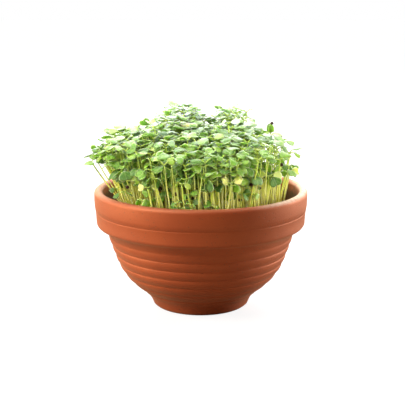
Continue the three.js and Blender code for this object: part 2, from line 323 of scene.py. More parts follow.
# ---- seed hulls: open cups, in millimetres and degrees ----
HULL_ROWS = 5
HULL_SIDES = 12
HULL_WALL = 0.86
HULL_MOUTH = 118
HULL_SQUEEZE = 0.82
HULL_SIZE = (1.3, 1.65)
HULL_TILT = (30, 150)
HULL_STANDOFF = 0.7

# Where they cling, each to the nearest leaf or stem.
HULLS = [
    (-39.5, -44, 104),
    (-51.4, -51, 92.5),
    (-25.7, -56, 93.6),
    (-16.3, -57, 91),
    (51.6, 4, 132.4),
    (56.5, 6, 120.5),
    (20.2, -34, 108),
    (32.1, -55, 96),
    (54.7, -30, 104.7),
    (-35.3, -4, 118.5),
    (-8, -20, 112),
    (12, 10, 118),
    (-44, 8, 121),
    (-5, -57, 88),
    (8, -57, 96.5),
    (-47, -30, 98),
    (26, -52, 86),
    (41, -47, 92),
]

# The CAD model's seedlings that stand out. First the measures: the stem's foot, the stem's top, the
# length of a seed leaf, the direction of the first leaf and how far the leaves rise. Then the look:
# the tone of the leaves from dark to pale, and how far they tip to the front.
STANDOUTS = [
    (((-54, -14), (-75, -16, 105), 10, 82, 14), (0.55, 30)),
    (((-51, 4), (-69.5, 8, 109), 9.5, 20, 12), (0.4, 42)),
    (((-52, 20), (-62, 19, 120), 9.5, 168, 5), (0.35, 8)),
    (((-21, 39), (-25, 43, 130), 10, 8, 12), (0.55, 4)),
    (((-8, 43), (-10, 47, 134), 9.5, 172, 8), (0.5, 0)),
    (((24, 39), (25.5, 43, 130.5), 10, 150, 24), (0.75, 0)),
    (((33, 28), (33, 31, 134), 10, 15, 16), (0.6, 6)),
    (((46, 6), (49, 6, 119), 10.5, 95, 74), (0.0, 0)),
    (((57, 3), (63, 1, 109), 8.5, -12, -18), (0.7, 12)),
    (((54, -12), (60, -14, 96), 8.5, 20, 6), (0.95, 26)),
    (((52, 22), (59.5, 25, 113), 9, -8, -10), (0.5, 12)),
    (((6, -56.5), (7, -60, 95), 7.5, -12, 6), (0.0, 38)),
    (((19, -54), (20, -58, 99.5), 7, 10, 20), (1.0, 30)),
    (((-31, -49), (-33, -53, 92), 5.5, -150, -10), (0.5, 62)),
    (((44, -35), (47, -38, 100), 9.5, -60, -28), (0.12, 48)),
    (((-44, -35), (-53, -35, 109), 9.5, -130, -16), (0.3, 30)),
    (((-37, -40), (-44, -41, 103), 8.5, -110, -22), (0.85, 44)),
    (((-50, -30), (-56.5, -35, 90.5), 6.5, -145, -4), (0.05, 30)),
]

# Others that stand out, which the CAD model leaves out.
EXTRAS = [
    (((43, -5), (41, -5, 117), 9.8, 8, 6), (0.1, 50)),
    (((6, -10), (0.5, -9, 117.5), 10, 5, 4), (0.35, 52)),
    (((-48, 6), (-55.7, 6, 122), 9.5, 176, 4), (0.75, 26)),
    (((-45, -35), (-51.5, -44, 90.5), 8.5, -152, -30), (0.15, -8)),
    (((-31, -52), (-34.5, -58, 96), 6.4, 4, -8), (1.0, 56)),
    (((17, -57), (19.5, -63, 99.5), 7.8, 6, 18), (1.0, 38)),
]


# ---- mesh helpers ----
class Piece:
    """Gathers the vertices, faces and per-vertex values of one mesh."""

    VALUES = ("tone", "edge", "along", "leaf_x", "leaf_y", "under")

    def __init__(self):
        self.points = []
        self.faces = []
        self.slots = []
        self.values = {name: [] for name in self.VALUES}

    def add(self, points, faces, slot=0, values=None):
        start = len(self.points)
        self.points.extend(map(tuple, points))
        self.faces.extend(tuple(start + i for i in face) for face in faces)
        self.slots.extend([slot] * len(faces))
        values = values or {}
        for name, numbers in self.values.items():
            numbers.extend(np.broadcast_to(values.get(name, 0.0), len(points)).tolist())

    def build(self, name, materials):
        mesh = bpy.data.meshes.new(name)
        mesh.from_pydata(self.points, [], self.faces)
        for material in materials:
            mesh.materials.append(material)
        mesh.polygons.foreach_set("material_index", self.slots)
        mesh.polygons.foreach_set("use_smooth", [True] * len(self.faces))
        for key, numbers in self.values.items():
            if any(numbers):
                mesh.attributes.new(key, "FLOAT", "POINT").data.foreach_set("value", numbers)
        mesh.update()
        piece = bpy.data.objects.new(name, mesh)
        bpy.context.scene.collection.objects.link(piece)
        return piece


def place(piece, slot, *nodes):
    """Ties a finished piece to the one body and hides the solids that it stands for. Its slot is not used.
    """
    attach(piece, "root")
    if nodes:
        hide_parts(*nodes)


def bezier(a, b, c, d, count):
    """Points along a cubic curve."""
    t = np.linspace(0, 1, count)[:, None]
    a, b, c, d = (np.array(p, float) for p in (a, b, c, d))
    return (1 - t) ** 3 * a + 3 * (1 - t) ** 2 * t * b + 3 * (1 - t) * t**2 * c + t**3 * d


def polar(radius, angle):
    return radius * math.cos(angle), radius * math.sin(angle)


def bands(start, rings, sides):
    """The quads between rings of vertices that follow one another, from the number of the first."""
    faces = []
    for ring in range(rings - 1):
        a = start + ring * sides
        b = a + sides
        for i in range(sides):
            j = (i + 1) % sides
            faces.append((a + i, a + j, b + j, b + i))
    return faces


def tube(points, radii, sides):
    """A closed tube: its vertices, faces and how far along each vertex lies."""
    points = np.asarray(points, float)
    tangents = np.gradient(points, axis=0)
    tangents /= np.linalg.norm(tangents, axis=1)[:, None]
    side = np.eye(3)[0 if abs(tangents[0][0]) < 0.8 else 1]
    angles = np.arange(sides) * 2 * math.pi / sides
    rings = []
    for point, tangent, radius in zip(points, tangents, radii):
        side = side - tangent * side.dot(tangent)
        side /= np.linalg.norm(side)
        other = np.cross(tangent, side)
        rings.append(point + radius * (np.cos(angles)[:, None] * side + np.sin(angles)[:, None] * other))
    last = (len(points) - 1) * sides
    foot = tuple(reversed(range(sides)))
    end = tuple(last + i for i in range(sides))
    along = np.repeat(np.linspace(0, 1, len(points)), sides)
    return np.concatenate(rings), [*bands(0, len(points), sides), foot, end], along


# ---- materials ----
class Nodes:
    """Short names for the nodes of one material or world."""

    def __init__(self, owner):
        owner.use_nodes = True
        self.owner = owner
        self.tree = owner.node_tree

    def feed(self, socket, value):
        """Links an output to a socket, or sets the socket."""
        if isinstance(value, bpy.types.NodeSocket):
            self.tree.links.new(value, socket)
        else:
            socket.default_value = value

    def add(self, kind, inputs=(), **settings):
        node = self.tree.nodes.new(kind)
        for key, value in settings.items():
            setattr(node, key, value)
        for key, value in dict(inputs).items():
            self.feed(node.inputs[key], value)
        return node

    def attribute(self, name):
        return self.add("ShaderNodeAttribute", attribute_name=name).outputs["Fac"]

    def position(self):
        return self.add("ShaderNodeTexCoord").outputs["Object"]

    def split(self, vector):
        """The three parts of a vector."""
        return self.add("ShaderNodeSeparateXYZ", {0: vector}).outputs

    def noise(self, scale, detail, vector=None):
        vector = vector or self.position()
        inputs = {"Vector": vector, "Scale": scale, "Detail": detail, "Roughness": 0.55}
        return self.add("ShaderNodeTexNoise", inputs).outputs["Fac"]

    def cells(self, scale):
        """How far a place is from the middle of its cell, of cells that lie scattered."""
        inputs = {"Vector": self.position(), "Scale": scale}
        return self.add("ShaderNodeTexVoronoi", inputs).outputs["Distance"]

    def math(self, operation, a, b=0.0):
        return self.add("ShaderNodeMath", {0: a, 1: b}, operation=operation).outputs[0]

    def span(self, value, low, high, to_low=0.0, to_high=1.0):
        inputs = {"Value": value, "From Min": low, "From Max": high, "To Min": to_low, "To Max": to_high}
        return self.add("ShaderNodeMapRange", inputs, clamp=True).outputs["Result"]

    def mix(self, share, a, b):
        """A colour between two others."""
        return self.add("ShaderNodeMix", {0: share, 6: a, 7: b}, data_type="RGBA").outputs[2]

    def ramp(self, value, stops):
        """A colour that runs through stops, each a place and its colour."""
        node = self.add("ShaderNodeValToRGB", {"Fac": value})
        elements = node.color_ramp.elements
        while len(elements) < len(stops):
            elements.new(0.5)
        for element, (position, color) in zip(elements, stops):
            element.position = position
            element.color = color
        return node.outputs["Color"]

    def bump(self, height, distance, strength=1.0, normal=None):
        inputs = {"Height": height, "Distance": distance, "Strength": strength}
        if normal:
            inputs["Normal"] = normal
        return self.add("ShaderNodeBump", inputs).outputs["Normal"]

    def finish(self, shader="Principled BSDF", **inputs):
        """Feeds a shader that the material or world came with."""
        for key, value in inputs.items():
            self.feed(self.tree.nodes[shader].inputs[key.replace("_", " ")], value)
        return self.owner


def new_material(name):
    return Nodes(bpy.data.materials.new(name))


def inner_dark_share(n, x, y, height):
    """Where the inner wall is darker: from the mix up to a wavy line."""
    radius = n.math("SQRT", n.math("ADD", n.math("MULTIPLY", x, x), n.math("MULTIPLY", y, y)))
    inside = n.span(radius, LIP_INNER_RADIUS + 0.4 * MM, LIP_INNER_RADIUS + 1.2 * MM, 1.0, 0.0)
    inside = n.math("MULTIPLY", inside, n.span(height, COLLAR_BOTTOM, COLLAR_BOTTOM + 2 * MM))
    tide = n.math("ADD", height, n.span(n.noise(160, 4), 0.3, 0.7, -INNER_DARK_WAVE, INNER_DARK_WAVE))
    dark_below, clear_above = (POT_HEIGHT - reach for reach in INNER_DARK_REACH)
    return n.math("MULTIPLY", inside, n.span(tide, dark_below, clear_above, 0.85, 0.0))


def painted_lip_highlight(n, x, y, height):
    """Where a painted highlight lies on the lip: pale, in patches, and mostly on its right."""
    start, full = (POT_HEIGHT - reach for reach in LIP_HIGHLIGHT_REACH)
    facing = n.math("SUBTRACT", x, n.math("MULTIPLY", y, 0.35))
    highlight = n.math("MULTIPLY", n.span(height, start, full), n.span(facing, *LIP_HIGHLIGHT_SIDE, 0.06, 0.66))
    return n.math("MULTIPLY", highlight, n.span(n.noise(300, 4), 0.3, 0.55, 0.5, 1.0))


def terracotta_material():
    """Fired clay: turning lines, grain and pits, worn edges, a darker inner wall and a painted highlight on
    the lip.
    """
    n = new_material("terracotta")
    x, y, height = n.split(n.position())
    lines = n.add("ShaderNodeCombineXYZ", {"Z": height})
    turning = n.noise(1400, 4, vector=lines.outputs["Vector"])
    grain = n.noise(2600, 2)
    unpitted = n.span(n.cells(420), 0.05, 0.16)
    worn = n.add("ShaderNodeNewGeometry").outputs["Pointiness"]
    color = n.mix(n.span(n.noise(38, 4), 0.35, 0.7), *CLAY)
    color = n.mix(n.span(grain, 0.3, 0.7, 0.0, 0.35), color, CLAY_GRAIN)
    color = n.mix(n.span(worn, 0.52, 0.6, 0.0, 0.3), color, CLAY_WORN)
    color = n.mix(n.math("SUBTRACT", 1.0, unpitted), color, CLAY_PIT)
    # The inner wall is darker from the mix up to a wavy line below the lip.
    color = n.mix(inner_dark_share(n, x, y, height), color, CLAY_INNER_DARK)
    # Painted highlight on the lip, pale and patchy, strongest on its right.
    color = n.mix(painted_lip_highlight(n, x, y, height), color, CLAY_PAINTED_HIGHLIGHT)
    relief = n.bump(turning, 0.12 * MM, 0.6)
    relief = n.bump(grain, 0.08 * MM, 0.7, relief)
    relief = n.bump(unpitted, 0.2 * MM, 0.6, relief)
    return n.finish(
        Base_Color=color,
        Roughness=n.span(grain, 0.2, 0.8, 0.5, 0.66),
        Normal=relief,
        Metallic=0.25,
        IOR=1.65,
        Specular_IOR_Level=1.0,
        Specular_Tint=(1.0, 1.0, 0.62, 1),
        Sheen_Weight=0.2,
        Sheen_Roughness=0.5,
        Sheen_Tint=(1.0, 0.85, 0.55, 1),
    )


def mix_material():
    """Potting mix: dark clumps with paler fibres between them."""
    n = new_material("potting_mix")
    clumps = n.noise(420, 5)
    fibres = n.noise(1600, 3)
    color = n.mix(n.span(clumps, 0.35, 0.65), *MIX)
    color = n.mix(n.span(fibres, 0.6, 0.75, 0.0, 0.7), color, MIX_FIBRE)
    relief = n.bump(fibres, 0.4 * MM, 1.0, n.bump(clumps, 1.2 * MM))
    return n.finish(Base_Color=color, Roughness=0.95, Normal=relief)


def stem_material():
    """Pale juicy stems, creamier towards the foot, that let light through."""
    n = new_material("tatsoi_stem")
    tone = n.attribute("tone")
    along = n.attribute("along")
    streaks = n.noise(700, 3)
    color = n.mix(n.span(along, 0.1, 0.8), n.mix(tone, *STEM_LOW), n.mix(tone, *STEM_HIGH))
    color = n.mix(n.span(along, 0.7, 0.98, 0.0, 0.8), color, STEM_END)
    color = n.mix(n.span(streaks, 0.4, 0.75, 0.0, 0.35), color, STEM_STREAK)
    return n.finish(
        Base_Color=color,
        Roughness=n.span(streaks, 0.2, 0.8, 0.35, 0.5),
        Normal=n.bump(streaks, 0.1 * MM, 0.4),
        Subsurface_Weight=0.8,
        Subsurface_Radius=(1.0, 1.0, 0.45),
        Subsurface_Scale=2 * MM,
    )


def leaf_veins(n):
    """The midrib of a seed leaf and a fainter pair of side veins."""
    across = n.math("ABSOLUTE", n.attribute("leaf_y"))
    midrib = n.span(across, 0.02, 0.08, 1.0, 0.0)
    reach = n.math("SUBTRACT", n.attribute("leaf_x"), n.math("MULTIPLY", across, 1.1))
    side_veins = n.span(n.math("ABSOLUTE", n.math("ADD", reach, 0.35)), 0.02, 0.07, 1.0, 0.0)
    return n.math("MAXIMUM", midrib, n.math("MULTIPLY", side_veins, 0.7))


def painted_top_sheen(n, tone):
    """A painted sheen that pales the highest leaves, in patches. The very darkest have none."""
    height = n.split(n.position())["Z"]
    sheen_share = n.math("MULTIPLY", n.span(height, *PAINTED_SHEEN_HEIGHTS, 0.0, 0.8), n.span(tone, 0.0, 0.06))
    return n.math("MULTIPLY", sheen_share, n.span(n.noise(110, 1), 0.46, 0.6, 0.3, 1.3))


def leaf_material():
    """Seed leaves: mottled satin green, paler veins, a painted rim highlight, a painted sheen up high and a
    paler underside.
    """
    n = new_material("tatsoi_leaf")
    tone = n.attribute("tone")
    mottle = n.noise(520, 4)
    fine = n.noise(2400, 2)
    veins = leaf_veins(n)
    mottled = n.math("MULTIPLY", n.span(mottle, 0.35, 0.7, 0.0, 0.4), n.span(tone, 0.0, 0.3, 0.3, 1.0))
    color = n.mix(mottled, n.ramp(tone, LEAF_TONES), LEAF_MOTTLE)
    color = n.mix(n.math("MULTIPLY", veins, 0.25), color, LEAF_VEIN)
    # Painted rim highlight: the outer ring of each blade is paled.
    color = n.mix(n.span(n.attribute("edge"), 0.86, 1.0, 0.0, 0.35), color, LEAF_RIM_HIGHLIGHT)
    color = n.mix(n.math("MULTIPLY", n.attribute("under"), 0.35), color, LEAF_UNDER)
    # Painted sheen: the highest leaves are paled in patches, as if backlit.
    color = n.mix(painted_top_sheen(n, tone), color, LEAF_PAINTED_SHEEN)
    relief = n.bump(mottle, 0.18 * MM, 0.5)
    relief = n.bump(veins, 0.06 * MM, 0.6, relief)
    relief = n.bump(fine, 0.04 * MM, 0.5, relief)
    return n.finish(
        Base_Color=color,
        Roughness=n.span(fine, 0.2, 0.8, 0.44, 0.58),
        Normal=relief,
        Coat_Weight=0.06,
        Coat_Roughness=0.3,
        Sheen_Weight=0.05,
        Sheen_Roughness=0.5,
        Subsurface_Weight=0.85,
        Subsurface_Radius=(0.8, 1.0, 0.4),
        Subsurface_Scale=1.5 * MM,
    )


def hull_material():
    """Seed coats: dark red-brown skins with a fine net on them."""
    n = new_material("seed_hull")
    speckle = n.noise(2500, 3)
    color = n.mix(n.span(speckle, 0.3, 0.7), *HULL)
    relief = n.bump(speckle, 0.1 * MM, 0.6, n.bump(n.cells(5200), 0.06 * MM, 0.6))
    return n.finish(Base_Color=color, Roughness=0.5, Normal=relief)


# ---- pot ----
def bowl_radius(height):
    """Radius of the bowl's crests at a height, on a smooth curve through the outline."""
    radii, heights = (np.array(column[::-1], float) * MM for column in zip(*BOWL_OUTLINE, *FOOT_FLARE))
    slopes = np.gradient(radii, heights)
    i = int(np.clip(np.searchsorted(heights, height) - 1, 0, len(heights) - 2))
    width = heights[i + 1] - heights[i]
    t = (height - heights[i]) / width
    rise = (2 * t**3 - 3 * t**2 + 1) * radii[i] + (3 * t**2 - 2 * t**3) * radii[i + 1]
    bend = (t**3 - 2 * t**2 + t) * slopes[i] + (t**3 - t**2) * slopes[i + 1]
    return rise + bend * width


def arc(radius, height, size, start, end, count):
    """Points on an arc in a section, between two angles in degrees."""
    angles = np.radians(np.linspace(start, end, count))
    return [(radius + size * math.cos(a), height + size * math.sin(a)) for a in angles]


def scaled(outline):
    """An outline in metres."""
    return [(radius * MM, height * MM) for radius, height in outline]


def ridge_profile():
    """The ridges of the bowl from the lowest up, each a broad crest between two narrow lines."""
    points = []
    for ridge in reversed(range(RIDGES)):
        for phase in np.linspace(1, 0, RIDGE_STEPS + 1)[:-1]:
            height = RIDGE_TOP - (ridge + phase) * RIDGE_PITCH
            depth = RIDGE_DEPTH * (1 - math.sin(math.pi * phase) ** RIDGE_BREADTH)
            points.append((bowl_radius(height) - depth, height))
    return points


def collar_profile():
    """The collar's side from its lower corner to the rim, with the line that is scored round it."""
    foot = RIM_RADIUS - COLLAR_TAPER
    face = RIM_RADIUS - GROOVE_INSET
    low, high, top = COLLAR_BENDS
    return [
        *arc(foot - COLLAR_ROUND, COLLAR_BOTTOM, COLLAR_ROUND, -55, 0, 8),
        (foot + COLLAR_SWELL, low),
        (face - GROOVE_LEAN, GROOVE_HEIGHT - 2 * GROOVE_HALF_WIDTH),
        (face, GROOVE_HEIGHT - GROOVE_HALF_WIDTH),
        (face - GROOVE_DEPTH, GROOVE_HEIGHT),
        (face + GROOVE_LEAN, GROOVE_HEIGHT + GROOVE_HALF_WIDTH),
        (RIM_RADIUS - COLLAR_SWELL, high),
        (RIM_RADIUS, top),
    ]


def pot_profile():
    """The pot's section from the axis under the foot, up the outside and down the inside."""
    foot = [(0, 0), (FOOT_RADIUS * 0.5, 0), (FOOT_RADIUS, 0)]
    foot += [(bowl_radius(height * MM), height * MM) for height in FOOT_RINGS]
    lip = arc(RIM_RADIUS - LIP_ROUND, POT_HEIGHT - LIP_ROUND, LIP_ROUND, 0, 90, 10)
    lip += arc(LIP_INNER_RADIUS + LIP_ROUND, POT_HEIGHT - LIP_ROUND, LIP_ROUND, 90, 180, 10)
    outside = [*foot, *ridge_profile(), *scaled(COLLAR_HOLLOW), *collar_profile()]
    return [*outside, *lip, *scaled(INNER_OUTLINE), (0, FLOOR_HEIGHT)]


def unevenness(angles, height, wobble):
    """How far a turned wall strays outwards and upwards at a height. The foot stays flat."""
    out = wobble * (np.sin(2 * angles + height * 90) + 0.6 * np.sin(3 * angles - height * 140))
    up = wobble * 0.7 * np.sin(angles + height * 60)
    return out, up * (height > 2 * MM)


def lathe(profile, segments, wobble=0.0):
    """Turns a section from axis to axis into a closed mesh. wobble is how uneven the turning is."""
    piece = Piece()
    angles = np.arange(segments) * 2 * math.pi / segments
    inner = profile[1:-1]
    rows = []
    for radius, height in inner:
        out, up = unevenness(angles, height, wobble)
        reach = radius + out
        rows.append(np.stack([reach * np.cos(angles), reach * np.sin(angles), height + up], 1))
    points = np.concatenate([[(0, 0, profile[0][1])], *rows, [(0, 0, profile[-1][1])]])
    faces = bands(1, len(inner), segments)
    last = len(points) - 1
    for i in range(segments):
        j = (i + 1) % segments
        faces.append((0, 1 + j, 1 + i))
        faces.append((last, last - segments + i, last - segments + j))
    piece.add(points, faces)
    return piece


def drill(piece):
    """Cuts the drain holes through the floor."""
    for i in range(DRAIN_HOLES):
        angle = i / DRAIN_HOLES * 2 * math.pi + math.pi / 2
        bpy.ops.mesh.primitive_cylinder_add(
            vertices=40,
            radius=DRAIN_RADIUS,
            depth=FLOOR_HEIGHT * 2,
            location=(*polar(DRAIN_CIRCLE, angle), FLOOR_HEIGHT / 2),
        )
        cutter = bpy.context.object
        cut = piece.modifiers.new("drain", "BOOLEAN")
        cut.operation = "DIFFERENCE"
        cut.solver = "EXACT"
        cut.object = cutter
        bpy.context.view_layer.objects.active = piece
        bpy.ops.object.modifier_apply(modifier=cut.name)
        bpy.data.objects.remove(cutter)


def pot(material):
    piece = lathe(pot_profile(), POT_SEGMENTS, POT_WOBBLE).build("terracotta_pot", [material])
    drill(piece)
    place(piece, "terracotta", "pot")


# ---- potting mix ----
def potting_mix(material):
    """The fill of the pot, a little hollow towards its edge, with a lumpy top."""
    wall = [(radius - MIX_GAP, height + MIX_GAP) for radius, height in scaled(reversed(INNER_OUTLINE[1:]))]
    wall = [(radius, height) for radius, height in wall if height < MIX_TOP]
    edge = MIX_RADIUS - MIX_EDGE_GAP
    shares = np.linspace(1, 0.02, MIX_RINGS)
    top = [(edge * share, MIX_TOP - (MIX_SINK + MIX_DOME * share**2) * MM) for share in shares]
    profile = [(0, FLOOR_HEIGHT + MIX_GAP), *wall, *top, (0, MIX_TOP - MIX_SINK * MM)]
    piece = lathe(profile, MIX_SEGMENTS)
    points = np.array(piece.points)
    upper = (points[:, 2] > MIX_TOP - LUMP_DEPTH) & (np.hypot(points[:, 0], points[:, 1]) < edge * 0.995)
    lumps = np.array([rng.uniform(-LUMP_HEIGHT, LUMP_HEIGHT) for _ in points])
    points[upper, 2] += lumps[upper] * MM
    piece.points = points.tolist()
    place(piece.build("potting_mix_fill", [material]), "potting_mix", "potting_mix")


# ---- seedlings ----
def lerp(pair, share):
    return pair[0] + (pair[1] - pair[0]) * share


def even(i, k):
    """The k-th low-discrepancy number from 0 to 1 of item i."""
    return (EVEN_START + i * EVEN_STEPS[k]) % 1


def spread_seedling(i):
    """The first seedling of the CAD model's i-th tuft."""
    share = (i + 0.5) / SPREAD_COUNT
    radius = STAND_RADIUS * math.sqrt(share)
    angle = math.radians(FIRST_ANGLE + i * GOLDEN_ANGLE)
    reach = radius + EDGE_LEAN * share**3 + 2 * even(i, 0) - 1
    drift = lerp(SPREAD_DRIFT, even(i, 1))
    height = STAND_TOP - EDGE_DROP * share**2 - lerp(SPREAD_DROP, even(i, 2))
    x, y = polar(reach, angle)
    leaf = lerp(SPREAD_LEAF, even(i, 1))
    lift = lerp(SPREAD_LIFT, even(i, 0))
    return Plant(polar(radius, angle), (x + drift, y, height), leaf, 360 * even(i, 3), lift)


def tuft_seedling(first, n):
    """The n-th try at another seedling for the tuft of the first one."""
    way = math.radians(360 * even(n, 3))
    step = polar(TUFT_STEP, way)
    reach = (*polar(lerp(TUFT_REACH, even(n, 0)), way), lerp(TUFT_RISE, even(n, 1)))
    foot = tuple(a + b for a, b in zip(first.foot, step))
    top = tuple(a + b for a, b in zip(first.top, reach))
    return Plant(foot, top, lerp(TUFT_LEAF, even(n, 2)), 360 * even(n, 2), lerp(TUFT_LIFT, even(n, 1)))


def leaf_feelers(plant):
    """Points over both of a seedling's leaves, taken as flat."""
    rows = []
    for x in FEEL_ALONG:
        half_width = min(0.45, 0.06 + x * 0.6, 1.22 - x * 0.9)
        rows += [(x, y * half_width) for y in FEEL_ACROSS]
    along, across = np.array(rows).T * plant.leaf
    lift = math.radians(plant.lift)
    points = []
    for side in (0, 180):
        turn = math.radians(plant.turn + side)
        x = along * math.cos(lift) * math.cos(turn) - across * math.sin(turn)
        y = along * math.cos(lift) * math.sin(turn) + across * math.cos(turn)
        points.append(np.stack([x, y, along * math.sin(lift)], 1) + plant.top)
    return np.concatenate(points)


def stem_path(plant, start, count):
    """Points along a stem that starts upright at a height and bends towards its top."""
    foot, top = plant.foot, plant.top
    height = top[2] - start
    low = (*foot, start + height * STEM_UPRIGHT)
    x, y = (lerp((top[i], foot[i]), STEM_EASE) for i in (0, 1))
    high = (x, y, top[2] - height * STEM_EASE)
    return bezier((*foot, start), low, high, top, count)


def near(some, others):
    """How many pairs of points are too near each other, of two lists."""
    low = some.min(axis=0) - CLEAR_ACROSS
    high = some.max(axis=0) + CLEAR_ACROSS
    others = others[((others > low) & (others < high)).all(axis=1)]
    across = np.hypot(*(some[:, None, :2] - others[None, :, :2]).transpose(2, 0, 1))
    up = np.abs(some[:, None, 2] - others[None, :, 2])
    return np.count_nonzero((across < CLEAR_ACROSS) & (up < CLEAR_UP))


class Felt:
    """Where the leaves and stems of the seedlings are that have been grown so far."""

    def __init__(self):
        self.leaves = np.zeros((0, 3))
        self.stems = np.zeros((0, 3))
        self.homes = np.zeros(0)

    def add_leaves(self, leaves):
        self.leaves = np.concatenate([self.leaves, leaves])

    def add(self, leaves, stems, home):
        self.add_leaves(leaves)
        self.stems = np.concatenate([self.stems, stems])
        self.homes = np.concatenate([self.homes, np.full(len(stems), home)])

    def clashes(self, leaves, stems, home):
        """How many points of a new seedling are too near. The stems of one tuft may touch."""
        others = self.stems[self.homes != home]
        count = near(leaves, self.leaves) + near(leaves, self.stems)
        return count + near(stems, self.leaves) + near(stems, others)


def stem_feelers(plant, start=STEM_START):
    return stem_path(plant, start, math.ceil((plant.top[2] - SOIL_HEIGHT) / FEEL_PITCH) + 1)


def grow_tufts():
    """The CAD model's seedlings, node by node, and where they are."""
    first_ones = [Plant(*measures) for measures, _ in STANDOUTS]
    first_ones += [spread_seedling(i) for i in range(SPREAD_COUNT)]
    tufts = [[plant] for plant in first_ones]
    felt = Felt()
    for home, plant in enumerate(first_ones):
        felt.add(leaf_feelers(plant), stem_feelers(plant), home)
    for i in range(SPREAD_COUNT * TUFT_EXTRA):
        home = len(STANDOUTS) + i % SPREAD_COUNT
        for n in range(i * TUFT_TRIES, (i + 1) * TUFT_TRIES):
            plant = tuft_seedling(first_ones[home], n)
            if math.hypot(plant.top[0] - TOPS_MIDDLE, plant.top[1]) > TOPS_RADIUS:
                continue
            leaves = leaf_feelers(plant)
            stems = stem_feelers(plant, STEM_START + TUFT_START * len(tufts[home]))
            if felt.clashes(leaves, stems, home) == 0:
                felt.add(leaves, stems, home)
                tufts[home].append(plant)
                break
    return tufts, felt


def smooth(value, low, high):
    """Rises from 0 to 1 between two limits, without a bend at either."""
    share = min(max((value - low) / (high - low), 0.0), 1.0)
    return share * share * (3 - 2 * share)


def fall(value, drop, start, full):
    return drop * smooth(value, start, full)


def crown(x, middle, half_width, rise):
    return rise * math.exp(-(((x - middle) / half_width) ** CROWN_SQUARENESS))


def canopy_top(x, y):
    """How high the stand reaches at a place, in millimetres: crowns at the back, and lower at its sides."""
    crowns = sum(crown(x, *measures) for measures in CROWNS)
    height = CANOPY_TOP + crowns * smooth(y, *CROWN_SPAN)
    height -= fall(-x, *LEFT_FALL)
    height -= fall(x, *RIGHT_FALL)
    height -= fall(y, *BACK_FALL)
    return height - fall(-y, *FRONT_FALL)


def tip_notch(angle):
    """How deep the notch at a blade's tip is, at an angle from it."""
    return BLADE_NOTCH * np.exp(-((angle / 0.38) ** 2))


def blade_outline(angle):
    """Radius of a heart-shaped blade of unit size at an angle from its tip."""
    shoulders = 0.1 * np.cos(2 * (np.abs(angle) - 0.85))
    base = 0.1 * np.exp(-(((math.pi - np.abs(angle)) / 0.3) ** 2))
    return 1 + shoulders + base - tip_notch(angle)


def blade_shape():
    """A flat blade of unit size: the points of its upper side as (x, y, ring share), how many of them
    its lower side repeats, which is all but the outer ring, and the faces of both sides.
    """
    angles = np.arange(BLADE_SIDES) * 2 * math.pi / BLADE_SIDES - math.pi
    outline = blade_outline(angles)
    points = [(0.0, 0.0, 0.0)]
    for ring in range(1, BLADE_RINGS + 1):
        share = (ring / BLADE_RINGS) ** 0.8
        x = share * outline * np.cos(angles) * BLADE_LENGTH
        y = share * outline * np.sin(angles) * BLADE_WIDTH
        points += list(zip(x, y, np.full(BLADE_SIDES, share)))
    faces = [(0, 1 + i, 1 + (i + 1) % BLADE_SIDES) for i in range(BLADE_SIDES)]
    faces += [(a, d, c, b) for a, b, c, d in bands(1, BLADE_RINGS, BLADE_SIDES)]
    inner = len(points) - BLADE_SIDES
    faces += [tuple(i if i >= inner else i + len(points) for i in reversed(face)) for face in faces]
    return np.array(points), inner, faces


BLADE, BLADE_INNER, BLADE_FACES = blade_shape()


def curl(run, rate):
    """Bends a straight run into an arc: how far it then reaches, and how far it falls."""
    rate = rate if abs(rate) > 0.001 else 0.001
    return np.sin(run * rate) / rate, (1 - np.cos(run * rate)) / rate


def blade(piece, base, along, across, normal, size, tone, bend, taper):
    """One blade: its base, its three directions, its half size, tone and curls.

    Taper is how much it narrows towards the tip, where it also fills the notch.
    """
    x, y, share = BLADE.T
    x = x + TIP_FILL * taper * share * tip_notch(np.arctan2(y, x)) * BLADE_LENGTH
    y = y * (1 - taper * ((x / BLADE_LENGTH + 1) / 2) ** 2)
    reach_x, fall_x = curl(x + BLADE_LENGTH, bend.droop)
    reach_y, fall_y = curl(y, bend.hood)
    ripple = bend.ripple * share**3 * np.sin(3 * np.arctan2(y, x) + bend.phase)
    height = bend.vee * np.sqrt(y * y + 0.01) - fall_x - fall_y + ripple
    top = base + size * (reach_x[:, None] * along + reach_y[:, None] * across + height[:, None] * normal)
    thickness = BLADE_THICKNESS * np.sqrt(np.clip(1 - share**4, 0, 1))
    below = (top - thickness[:, None] * normal)[:BLADE_INNER]
    both = [*range(len(BLADE)), *range(BLADE_INNER)]
    under = np.repeat([0.0, 1.0], [len(BLADE), BLADE_INNER])
    values = {"tone": tone, "edge": share[both], "leaf_x": x[both], "leaf_y": y[both], "under": under}
    piece.add(np.concatenate([top, below]), BLADE_FACES, LEAF_SLOT, values)


def lowered(pair, low):
    return pair[0] + pair[1] * low


